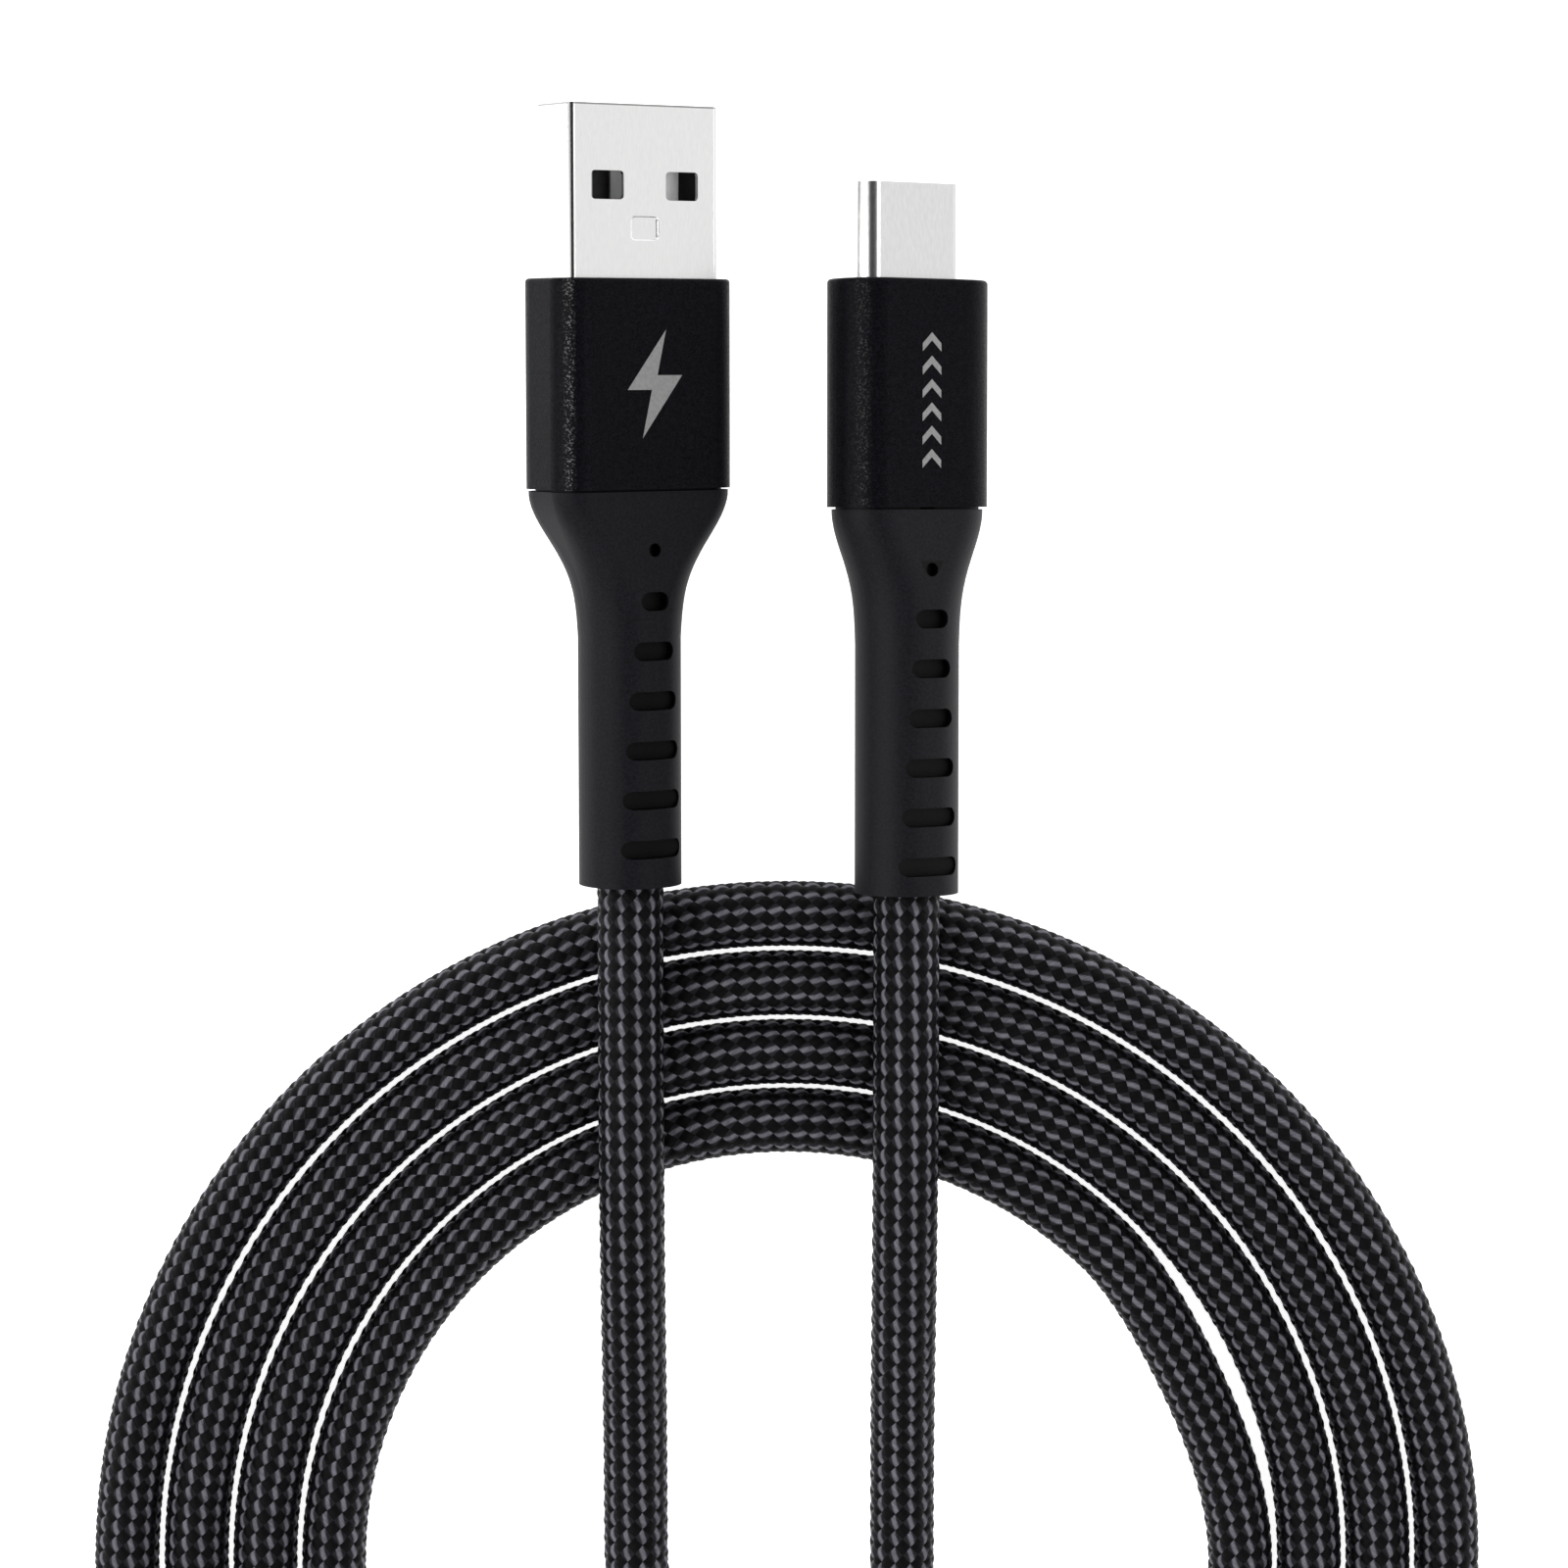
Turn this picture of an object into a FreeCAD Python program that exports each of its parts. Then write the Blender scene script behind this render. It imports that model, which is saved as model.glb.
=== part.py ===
import FreeCAD, Part

import math
import os

import Sketcher
from FreeCAD import Placement, Rotation, Vector

# A USB-A to USB-C charging cable that lies wound in four rings on a surface. Millimetres, +Z up.
# The origin is on the surface, under the middle of the two plugs, which both point along +Y.
# A plug's own frame has its origin at the middle of the housing's front face, +Y towards the tip, X across
# the broad face and +Z out of it. Lengths along a plug are counted from that face towards the cord.

SIZES = {
    # cord and coil
    "cord_diameter": 4.7,
    "ring_pitch": 5.0,
    "inner_ring": 33.0,
    "coil_edge_round": 1.2,
    "conductor_diameter": 0.9,
    "wire_spread": 0.75,
    "wire_lead": 1.8,
    "wire_overlap": 0.05,
    "fit_gap": 0.04,
    # USB-A plug
    "a_shell_width": 12.0,
    "a_shell_height": 4.5,
    "a_shell_wall": 0.3,
    "a_shell_round": 0.45,
    "a_shell_out": 11.8,
    "a_shell_in": 6.0,
    "a_window_width": 2.6,
    "a_window_length": 1.95,
    "a_window_offset": 3.0,
    "a_window_from_tip": 5.5,
    "a_dimple_width": 2.1,
    "a_dimple_length": 1.5,
    "a_dimple_from_tip": 8.4,
    "a_dimple_depth": 0.35,
    "a_cut_corner_round": 0.3,
    "a_dimple_rim_round": 0.12,
    "a_tongue_height": 1.9,
    "a_tongue_recess": 0.3,
    "a_tongue_back": 0.2,
    "a_tongue_side_gap": 0.1,
    "a_contact_width": 1.0,
    "a_contact_thickness": 0.2,
    "a_contact_tail": 1.0,
    "a_power_contact_offset": 3.5,
    "a_data_contact_offset": 1.0,
    "a_power_contact_reach": 1.3,
    "a_data_contact_reach": 2.3,
    "a_housing_width": 14.2,
    "a_housing_height": 6.9,
    "a_housing_round": 2.1,
    "a_housing_length": 14.4,
    "a_housing_wall": 0.6,
    "a_cavity_width": 9.2,
    "a_cavity_height": 3.4,
    # USB-C plug
    "c_shell_width": 8.25,
    "c_shell_height": 2.4,
    "c_shell_wall": 0.2,
    "c_shell_out": 6.65,
    "c_shell_in": 4.5,
    "c_slot_width": 6.9,
    "c_slot_height": 1.15,
    "c_slot_depth": 6.1,
    "c_insulator_recess": 0.35,
    "c_insulator_back": 0.1,
    "c_contact_pitch": 0.5,
    "c_contact_width": 0.22,
    "c_contact_thickness": 0.13,
    "c_contact_length": 4.2,
    "c_contact_recess": 1.2,
    "c_latch_thickness": 0.18,
    "c_latch_height": 0.4,
    "c_latch_arm": 5.0,
    "c_latch_bridge": 0.3,
    "c_shield_width": 9.0,
    "c_shield_height": 3.2,
    "c_shield_length": 7.6,
    "c_shield_wall": 0.2,
    "c_board_width": 7.0,
    "c_board_height": 0.8,
    "c_board_length": 7.2,
    "resistor_width": 0.5,
    "resistor_length": 1.0,
    "resistor_height": 0.35,
    "resistor_offset": 0.6,
    "resistor_behind": 2.0,
    "c_housing_width": 11.8,
    "c_housing_height": 6.4,
    "c_housing_round": 3.0,
    "c_housing_length": 15.7,
    "c_housing_wall": 0.55,
    "c_insert_recess": 0.4,
    # boots: front section, neck section, length, and how far the flare reaches
    "a_boot_width": 14.0,
    "a_boot_height": 6.7,
    "a_neck_width": 7.1,
    "a_boot_length": 27.5,
    "a_flare": 4.65,
    "c_boot_width": 11.2,
    "c_boot_height": 6.2,
    "c_neck_width": 7.2,
    "c_boot_length": 26.8,
    "c_flare": 4.3,
    "neck_height": 6.9,
    "neck_round": 3.3,
    # both housings and boots
    "rim_round": 0.25,
    "boot_joint": 0.15,
    "spigot_length": 0.9,
    "relief_slot_length": 1.3,
    "relief_slot_pitch": 3.44,
    "relief_floor": 2.55,
    "relief_cut": 3.0,
    "relief_hole": 0.95,
    "crimp_length": 2.0,
    "crimp_wall": 0.3,
    "crimp_from_boot": 0.6,
}

# Half of each relief slot's width, from the flare to the cord.
A_SLOT_REACH = (1.1, 1.6, 1.9, 2.1, 2.3, 2.4)
C_SLOT_REACH = (1.3, 1.55, 1.75, 1.95, 2.15, 2.35)
A_FIRST_SLOT = 7.57
C_FIRST_SLOT = 7.55
A_HOLE_BEHIND = 4.03
C_HOLE_BEHIND = 4.15

# Where each conductor ends, as X and Z in the plug's frame, and how far behind the rim.
A_WIRE_ENDS = {"red": (-3.5, 0.75), "white": (-1.1, 0.75), "green": (1.1, 0.75), "black": (3.5, 0.75)}
C_WIRE_ENDS = {"red": (-2.4, -0.9), "white": (-0.8, 0.9), "green": (0.8, 0.9), "black": (2.4, -0.9)}
A_WIRES_BEHIND = 6.3
C_WIRES_BEHIND = 9.8
# Which quarter of the cord each conductor leaves.
WIRE_QUARTERS = {"red": (-1, -1), "white": (-1, 1), "green": (1, 1), "black": (1, -1)}
# The fitted contacts of each row, counted in pitches from the middle.
C_CONTACT_PLACES = (-5.5, -2.5, -1.5, -0.5, 0.5, 1.5, 2.5, 5.5)
# The share of the shell's wall that the dimple is pressed in by.
DIMPLE_PRESS = 0.6

# How the plugs lie. The rim's lowest corner is on the surface, and the cord lifts the boot's end.
A_AXIS_X = -9.0
C_AXIS_X = 10.35
A_RIM_Y = 15.45
C_RIM_Y = 15.35
A_ROLL = 34.0
C_ROLL = 30.0
BOOT_END_HEIGHT = 7.1

# The coil's middle, and the cord's route where it isn't coiled, as X and Y from there and Z from the surface.
COIL_MIDDLE = Vector(2.0, -77.5, 0)
A_ROUTE = (
    (-11.0, 40.5, 7.37),
    (-11.0, 28.5, 7.5),
    (-11.0, 19.0, 5.3),
    (-11.0, 9.5, 2.35),
    (-11.0, -5.89, 2.35),
    (-5.11, -16.11, 2.35),
    (5.11, -22.0, 2.35),
    (16.89, -22.0, 2.35),
    (27.11, -16.11, 2.35),
    (33.0, -5.89, 2.35),
    (33.0, 5.82, 2.35),
    (30.26, 13.34, 2.35),
)
A_LAST_HEADING = 20.0
C_ROUTE = (
    (-48.0, 0.0, 2.35),
    (-48.0, -9.0, 2.35),
    (-46.1, -19.8, 4.0),
    (-41.0, -31.2, 6.4),
    (-32.1, -39.3, 7.4),
    (-19.0, -42.6, 7.3),
    (-5.9, -39.3, 7.3),
    (4.1, -30.3, 7.4),
    (8.35, -18.6, 7.6),
    (8.35, -8.0, 4.4),
    (8.35, 1.5, 2.35),
    (8.35, 10.5, 2.35),
    (8.35, 20.0, 5.3),
    (8.35, 29.5, 7.5),
    (8.35, 41.0, 7.63),
)
RINGS = 4
ARC_SHARE = 0.45
FLARE_SECTIONS = 8
FLARE_REACH = 2.2
# How far a cut starts in front of what it cuts, and how small a length counts as none.
CUT_MARGIN = 1
FLAT = 1e-6

doc = FreeCAD.newDocument("charging_cable")
sheet = doc.addObject("Spreadsheet::Sheet", "sizes")
for row, (alias, value) in enumerate(SIZES.items(), start=1):
    sheet.set(f"A{row}", alias)
    sheet.set(f"B{row}", str(value))
    sheet.setAlias(f"B{row}", alias)
doc.recompute()

parts = []


# ---- sizes that know their formula ----


class Dim:
    """A length with its number and the sheet formula that gives it."""

    def __init__(self, number, formula):
        self.number = number
        self.formula = formula

    def __float__(self):
        return self.number

    def __add__(self, other):
        other = as_dim(other)
        return Dim(self.number + other.number, f"({self.formula} + {other.formula})")

    def __radd__(self, other):
        return as_dim(other) + self

    def __sub__(self, other):
        other = as_dim(other)
        return Dim(self.number - other.number, f"({self.formula} - {other.formula})")

    def __rsub__(self, other):
        return as_dim(other) - self

    def __mul__(self, factor):
        return Dim(self.number * factor, f"({self.formula} * {factor})")

    def __truediv__(self, factor):
        return self * (1 / factor)

    def __neg__(self):
        return self * -1


def as_dim(value):
    return value if isinstance(value, Dim) else Dim(float(value), str(float(value)))


def get(alias):
    """The sheet's value under this alias."""
    return Dim(float(getattr(sheet, alias)), f"sizes.{alias}")


def bind(obj, prop, value):
    obj.setExpression(prop, as_dim(value).formula)


# ---- sketches ----


def new_sketch(body, role, offset):
    """A sketch on an origin plane of its own body. On XZ_Plane the offset runs towards the cord."""
    plane = next(item for item in body.Origin.OriginFeatures if item.Role == role)
    sketch = body.newObject("Sketcher::SketchObject", body.Name + "_sketch")
    sketch.AttachmentSupport = (plane, [""])
    sketch.MapMode = "FlatFace"
    bind(sketch, "AttachmentOffset.Base.z", offset)
    return sketch


def fix(sketch, constraint, value):
    """Adds a constraint whose value comes from the sheet."""
    index = sketch.addConstraint(constraint)
    bind(sketch, f"Constraints[{index}]", value)


def from_origin(sketch, kind, geometry, point, value):
    """Sets a point's distance from the sketch's origin along X or Y."""
    number = float(value)
    if abs(number) < 1e-9:
        line = -2 if kind == "DistanceX" else -1
        sketch.addConstraint(Sketcher.Constraint("PointOnObject", geometry, point, line))
    else:
        fix(sketch, Sketcher.Constraint(kind, -1, 1, geometry, point, number), value)


def draw_circle(sketch, diameter, x=0.0, y=0.0):
    centre = Vector(float(x), float(y), 0)
    index = sketch.addGeometry(Part.Circle(centre, Vector(0, 0, 1), float(diameter) / 2))
    fix(sketch, Sketcher.Constraint("Diameter", index, float(diameter)), diameter)
    from_origin(sketch, "DistanceX", index, 3, x)
    from_origin(sketch, "DistanceY", index, 3, y)


def draw_box(sketch, width, height, x=0.0, y=0.0):
    """A plain rectangle about a centre."""
    left, right = float(x) - float(width) / 2, float(x) + float(width) / 2
    low, high = float(y) - float(height) / 2, float(y) + float(height) / 2
    corners = [Vector(left, low), Vector(right, low), Vector(right, high), Vector(left, high)]
    first = sketch.GeometryCount
    for i, corner in enumerate(corners):
        sketch.addGeometry(Part.LineSegment(corner, corners[(i + 1) % 4]))
    for i in range(4):
        sketch.addConstraint(Sketcher.Constraint("Coincident", first + i, 2, first + (i + 1) % 4, 1))
        sketch.addConstraint(Sketcher.Constraint("Vertical" if i % 2 else "Horizontal", first + i))
    from_origin(sketch, "DistanceX", first, 1, as_dim(x) - width / 2)
    from_origin(sketch, "DistanceY", first, 1, as_dim(y) - height / 2)
    fix(sketch, Sketcher.Constraint("DistanceX", first, 1, first, 2, float(width)), width)
    fix(sketch, Sketcher.Constraint("DistanceY", first + 1, 1, first + 1, 2, float(height)), height)


def draw_rounded_box(sketch, width, height, radius):
    """A rectangle with round corners about the origin."""
    w, h, r = float(width) / 2, float(height) / 2, float(radius)
    ends = [
        (Vector(r - w, -h), Vector(w - r, -h)),
        (Vector(w, r - h), Vector(w, h - r)),
        (Vector(w - r, h), Vector(r - w, h)),
        (Vector(-w, h - r), Vector(-w, r - h)),
    ]
    corners = [Vector(w - r, r - h), Vector(w - r, h - r), Vector(r - w, h - r), Vector(r - w, r - h)]
    first = sketch.GeometryCount
    for i, (start, end) in enumerate(ends):
        sketch.addGeometry(Part.LineSegment(start, end))
        circle = Part.Circle(corners[i], Vector(0, 0, 1), r)
        quarter = math.pi / 2
        sketch.addGeometry(Part.ArcOfCircle(circle, (i - 1) * quarter, i * quarter))
    for i in range(4):
        line, arc = first + 2 * i, first + 2 * i + 1
        sketch.addConstraint(Sketcher.Constraint("Tangent", line, 2, arc, 1))
        sketch.addConstraint(Sketcher.Constraint("Tangent", arc, 2, first + (2 * i + 2) % 8, 1))
        sketch.addConstraint(Sketcher.Constraint("Vertical" if i % 2 else "Horizontal", line))
        if i:
            sketch.addConstraint(Sketcher.Constraint("Equal", first + 1, arc))
    fix(sketch, Sketcher.Constraint("Radius", first + 1, r), radius)
    from_origin(sketch, "DistanceX", first + 1, 3, width / 2 - radius)
    from_origin(sketch, "DistanceY", first + 5, 3, height / 2 - radius)
    from_origin(sketch, "DistanceX", first + 5, 3, radius - width / 2)
    from_origin(sketch, "DistanceY", first + 1, 3, radius - height / 2)


def draw_slot(sketch, reach, thickness, y=0.0):
    """A slot with round ends, centred across and as far along as y."""
    r = float(thickness) / 2
    x = float(reach) - r
    y_mid = float(y)
    first = sketch.GeometryCount
    sketch.addGeometry(Part.LineSegment(Vector(-x, y_mid - r), Vector(x, y_mid - r)))
    right = Part.Circle(Vector(x, y_mid), Vector(0, 0, 1), r)
    sketch.addGeometry(Part.ArcOfCircle(right, -math.pi / 2, math.pi / 2))
    sketch.addGeometry(Part.LineSegment(Vector(x, y_mid + r), Vector(-x, y_mid + r)))
    left = Part.Circle(Vector(-x, y_mid), Vector(0, 0, 1), r)
    sketch.addGeometry(Part.ArcOfCircle(left, math.pi / 2, 1.5 * math.pi))
    for i in range(4):
        sketch.addConstraint(Sketcher.Constraint("Tangent", first + i, 2, first + (i + 1) % 4, 1))
    sketch.addConstraint(Sketcher.Constraint("Horizontal", first))
    fix(sketch, Sketcher.Constraint("Radius", first + 1, r), thickness / 2)
    from_origin(sketch, "DistanceX", first + 1, 3, as_dim(reach) - thickness / 2)
    from_origin(sketch, "DistanceX", first + 3, 3, thickness / 2 - reach)
    from_origin(sketch, "DistanceY", first + 1, 3, y)


# ---- features ----


def new_body(label):
    return doc.addObject("PartDesign::Body", label)


def pad(body, sketch, length, backwards=False):
    feature = body.newObject("PartDesign::Pad", body.Name + "_pad")
    feature.Profile = sketch
    feature.Reversed = backwards
    bind(feature, "Length", length)
    sketch.Visibility = False
    return feature


def pocket(body, sketch, length=None, backwards=False):
    """Cuts against the sketch's normal, or along it when backwards, and right through without a length."""
    doc.recompute()
    before = body.Shape.Volume
    feature = body.newObject("PartDesign::Pocket", body.Name + "_pocket")
    feature.Profile = sketch
    feature.Reversed = backwards
    if length is None:
        feature.Type = "ThroughAll"
    else:
        bind(feature, "Length", length)
    doc.recompute()
    if not body.Shape.Volume < before:
        raise RuntimeError(f"a pocket in {body.Name} cut nothing")
    return feature


def along(body, draw, start, length):
    """Pads a profile along the plug's axis, from start towards the cord."""
    sketch = new_sketch(body, "XZ_Plane", start)
    draw(sketch)
    return pad(body, sketch, length)


def bore(body, draw, start, length=None):
    """Cuts a profile along the plug's axis, from start towards the cord."""
    sketch = new_sketch(body, "XZ_Plane", start)
    draw(sketch)
    return pocket(body, sketch, length, backwards=True)


def round_edges(body, radius, wanted):
    """Rounds the edges of the finished body that wanted() picks."""
    doc.recompute()
    base = body.Tip
    names = [f"Edge{i}" for i, edge in enumerate(base.Shape.Edges, start=1) if wanted(edge)]
    feature = body.newObject("PartDesign::Fillet", body.Name + "_round")
    feature.Base = (base, names)
    bind(feature, "Radius", radius)
    return feature


def keep(obj, label, placement):
    """Names a finished sub-part and puts it in its place."""
    obj.Label = label
    obj.Placement = placement
    parts.append(obj)


def keep_group(bodies, label, placement):
    """Joins separate solids of one kind in one sub-part."""
    group = doc.addObject("Part::Compound", label)
    group.Links = bodies
    keep(group, label, placement)


# ---- tubes ----


def round_route(points):
    """Straight runs joined by tangent arcs, as one wire, with the radius of each arc."""
    points = [Vector(*point) for point in points]
    edges = []
    radii = []
    start = points[0]
    for before, corner, after in zip(points, points[1:], points[2:]):
        shorter = min((corner - before).Length, (after - corner).Length)
        turn = (corner - before).getAngle(after - corner)
        trim = ARC_SHARE * shorter
        enter = corner + (before - corner).normalize() * trim
        leave = corner + (after - corner).normalize() * trim
        radius = trim / math.tan(turn / 2)
        bisector = ((before - corner).normalize() + (after - corner).normalize()).normalize()
        middle = corner + bisector * (radius / math.cos(turn / 2) - radius)
        edges.append(Part.LineSegment(start, enter).toShape())
        edges.append(Part.Arc(enter, middle, leave).toShape())
        radii.append(radius)
        start = leave
    edges.append(Part.LineSegment(start, points[-1]).toShape())
    return Part.Wire(edges), radii


def tube(label, points, diameter, placement):
    """A round solid along a rounded route."""
    path, radii = round_route(points)
    heading = Vector(*points[1]) - Vector(*points[0])
    section = Part.Wire(Part.Circle(Vector(*points[0]), heading, diameter / 2).toShape())
    solid = path.makePipeShell([section], True, False)
    expected = math.pi * diameter**2 / 4 * path.Length
    if abs(solid.Volume / expected - 1) > 0.01:
        raise RuntimeError(f"{label} has volume {solid.Volume:.1f}, not {expected:.1f}")
    feature = doc.addObject("Part::Feature", label)
    feature.Shape = solid
    keep(feature, label, placement)
    return path.Length, radii


# ---- how each plug lies ----


def plug_placement(kind, axis_x, rim_y, roll):
    """The plug's place, with its rim's lowest corner on the surface and its boot's end at BOOT_END_HEIGHT."""
    turn = math.radians(roll)
    radius = float(get(kind + "_housing_round"))
    wide = float(get(kind + "_housing_width")) / 2 - radius
    tall = float(get(kind + "_housing_height")) / 2 - radius
    drop = wide * math.sin(turn) + tall * math.cos(turn) + radius
    length = float(get(kind + "_housing_length") + get("boot_joint") + get(kind + "_boot_length"))
    pitch = math.degrees(math.asin((BOOT_END_HEIGHT - drop) / length))
    place = Rotation(Vector(1, 0, 0), -pitch) * Rotation(Vector(0, 1, 0), roll)
    rim_z = drop * math.cos(math.radians(pitch))
    placement = Placement(Vector(axis_x, rim_y, rim_z), place)
    return placement, placement.multVec(Vector(0, -length, 0))


A_PLACE, A_BOOT_END = plug_placement("a", A_AXIS_X, A_RIM_Y, A_ROLL)
C_PLACE, C_BOOT_END = plug_placement("c", C_AXIS_X, C_RIM_Y, C_ROLL)


# ---- pieces that both plugs have ----


def make_boot(kind, reaches, first_slot, hole_behind, placement):
    """The soft boot: a spigot in the housing, a flare, a cord bore and relief slots on both broad sides."""
    body = new_body(f"usb_{kind}_boot")
    front = get(kind + "_housing_length") + get("boot_joint")
    inner = get(kind + "_housing_wall") * 2 + get("fit_gap")
    spigot_front = get(kind + "_housing_length") - get("spigot_length")
    along(
        body,
        lambda sketch: draw_rounded_box(
            sketch,
            get(kind + "_housing_width") - inner,
            get(kind + "_housing_height") - inner,
            get(kind + "_housing_round") - get(kind + "_housing_wall"),
        ),
        spigot_front,
        get("spigot_length") + get("boot_joint"),
    )
    neck = [get(kind + "_neck_width"), get("neck_height"), get("neck_round")]
    flange = [get(kind + "_boot_width"), get(kind + "_boot_height"), get(kind + "_housing_round")]
    sketches = []
    for i in range(FLARE_SECTIONS):
        along_flare = FLARE_REACH * i / (FLARE_SECTIONS - 1)
        share = math.exp(-(along_flare**2)) if i < FLARE_SECTIONS - 1 else 0.0
        sketch = new_sketch(body, "XZ_Plane", front + get(kind + "_flare") * along_flare)
        draw_rounded_box(sketch, *(end + (start - end) * share for start, end in zip(flange, neck)))
        sketches.append(sketch)
    doc.recompute()
    loft = body.newObject("PartDesign::AdditiveLoft", body.Name + "_loft")
    loft.Profile = sketches[0]
    loft.Sections = sketches[1:]
    doc.recompute()
    flare_end = get(kind + "_flare") * FLARE_REACH
    neck_length = get(kind + "_boot_length") - flare_end
    along(body, lambda sketch: draw_rounded_box(sketch, *neck), front + flare_end, neck_length)
    cord_bore = get("cord_diameter") + get("fit_gap")
    bore(body, lambda sketch: draw_circle(sketch, cord_bore), spigot_front - CUT_MARGIN)
    seat = get("cord_diameter") + get("crimp_wall") * 2 + get("fit_gap") * 2
    bore(
        body,
        lambda sketch: draw_circle(sketch, seat),
        spigot_front - CUT_MARGIN,
        get("spigot_length") + get("crimp_from_boot") + get("crimp_length") + get("boot_joint") + CUT_MARGIN,
    )
    for side in (1, -1):
        sketch = new_sketch(body, "XY_Plane", get("relief_floor") * side)
        draw_circle(sketch, get("relief_hole"), 0.0, -(front + hole_behind))
        for i, reach in enumerate(reaches):
            middle = -(front + first_slot + get("relief_slot_pitch") * i)
            draw_slot(sketch, as_dim(reach), get("relief_slot_length"), middle)
        pocket(body, sketch, get("relief_cut"), backwards=side > 0)
    keep(body, f"usb_{kind}_boot", placement)


def make_housing(kind, placement, front_opening):
    """The metal sleeve, open behind, with an opening in its front wall for the shell or the insert."""
    body = new_body(f"usb_{kind}_housing")
    width, height = get(kind + "_housing_width"), get(kind + "_housing_height")
    corner, wall = get(kind + "_housing_round"), get(kind + "_housing_wall")
    length = get(kind + "_housing_length")
    along(body, lambda sketch: draw_rounded_box(sketch, width, height, corner), as_dim(0), length)
    bore(
        body,
        lambda sketch: draw_rounded_box(sketch, width - wall * 2, height - wall * 2, corner - wall),
        wall if front_opening else as_dim(0) - CUT_MARGIN,
    )
    if front_opening:
        bore(body, front_opening, as_dim(0) - CUT_MARGIN, wall * 2 + CUT_MARGIN)

    def at_rim(edge):
        return edge.BoundBox.YLength < FLAT and abs(edge.CenterOfMass.y) < FLAT

    round_edges(body, get("rim_round"), at_rim)
    keep(body, f"usb_{kind}_housing", placement)


def make_crimp(kind, placement):
    """The ferrule that grips the cord's end."""
    body = new_body(f"usb_{kind}_crimp")
    start = get(kind + "_housing_length") + get("boot_joint") + get("crimp_from_boot")
    inner = get("cord_diameter") + get("fit_gap")
    along(body, lambda sketch: draw_circle(sketch, inner + get("crimp_wall") * 2), start, get("crimp_length"))
    bore(body, lambda sketch: draw_circle(sketch, inner), start - CUT_MARGIN)
    keep(body, f"usb_{kind}_crimp", placement)


def make_cord_end(kind, placement):
    """The cord's gripped end, from the ferrule to the boot's mouth."""
    body = new_body(f"cord_end_{kind}")
    start = get(kind + "_housing_length") + get("boot_joint") + get("crimp_from_boot")
    length = get(kind + "_boot_length") - get("crimp_from_boot")
    along(body, lambda sketch: draw_circle(sketch, get("cord_diameter")), start, length)
    keep(body, f"cord_end_{kind}", placement)


def make_wires(kind, ends, behind, placement):
    """The four insulated conductors, from the stripped cord to their terminals."""
    cord_front = get(kind + "_housing_length") + get("boot_joint") + get("crimp_from_boot")
    start = float(cord_front - get("wire_overlap"))
    diameter = float(get("conductor_diameter"))
    spread, lead = float(get("wire_spread")), float(get("wire_lead"))
    for colour, (x, z) in WIRE_QUARTERS.items():
        end_x, end_z = ends[colour]
        route = (
            (x * spread, -start, z * spread),
            (x * spread, -start + lead, z * spread),
            (end_x, -behind - lead, end_z),
            (end_x, -behind, end_z),
        )
        tube(f"usb_{kind}_wire_{colour}", route, diameter, placement)


# ---- USB-A plug ----


def make_a_shell():
    """The folded steel shell, with two latch windows through both broad walls and a pressed dimple."""
    body = new_body("usb_a_shell")
    width, height, wall = get("a_shell_width"), get("a_shell_height"), get("a_shell_wall")
    radius, tip = get("a_shell_round"), get("a_shell_out")
    along(body, lambda sketch: draw_rounded_box(sketch, width, height, radius), -tip, tip + get("a_shell_in"))
    bore(
        body,
        lambda sketch: draw_rounded_box(sketch, width - wall * 2, height - wall * 2, radius - wall),
        -tip - CUT_MARGIN,
    )
    windows = new_sketch(body, "XY_Plane", height)
    for side in (1, -1):
        draw_box(
            windows,
            get("a_window_width"),
            get("a_window_length"),
            get("a_window_offset") * side,
            tip - get("a_window_from_tip"),
        )
    pocket(body, windows)
    dimple = new_sketch(body, "XY_Plane", height / 2)
    draw_box(dimple, get("a_dimple_width"), get("a_dimple_length"), 0.0, tip - get("a_dimple_from_tip"))
    pocket(body, dimple, wall * DIMPLE_PRESS)
    pressed = new_sketch(body, "XY_Plane", height / 2 - wall)
    draw_box(pressed, get("a_dimple_width"), get("a_dimple_length"), 0.0, tip - get("a_dimple_from_tip"))
    pad(body, pressed, get("a_dimple_depth") - wall * DIMPLE_PRESS, backwards=True)
    face = float(height) / 2
    cuts_end = float(get("a_window_offset") + get("a_window_width") / 2) + FLAT

    def at_cut_corner(edge):
        box = edge.BoundBox
        return box.XLength < FLAT and box.YLength < FLAT and abs(box.XMax) < cuts_end

    def at_dimple_rim(edge):
        box = edge.BoundBox
        on_face = box.ZLength < FLAT and abs(box.ZMax - face) < FLAT
        return on_face and max(abs(box.XMin), abs(box.XMax)) < float(get("a_dimple_width")) / 2 + FLAT

    round_edges(body, get("a_cut_corner_round"), at_cut_corner)
    round_edges(body, get("a_dimple_rim_round"), at_dimple_rim)
    keep(body, "usb_a_shell", A_PLACE)


def make_a_tongue():
    """The insulating tongue that fills the shell's lower half."""
    body = new_body("usb_a_tongue")
    inside = get("a_shell_wall") * 2 + get("fit_gap") * 2
    low = get("a_shell_height") / 2 - get("a_shell_wall") - get("fit_gap")
    sketch = new_sketch(body, "XY_Plane", -low)
    front = get("a_shell_out") - get("a_tongue_recess")
    length = front + get("a_shell_in") - get("a_tongue_back")
    width = get("a_shell_width") - inside - get("a_tongue_side_gap") * 2
    draw_box(sketch, width, length, 0.0, front - length / 2)
    pad(body, sketch, get("a_tongue_height"))
    keep(body, "usb_a_tongue", A_PLACE)


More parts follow.
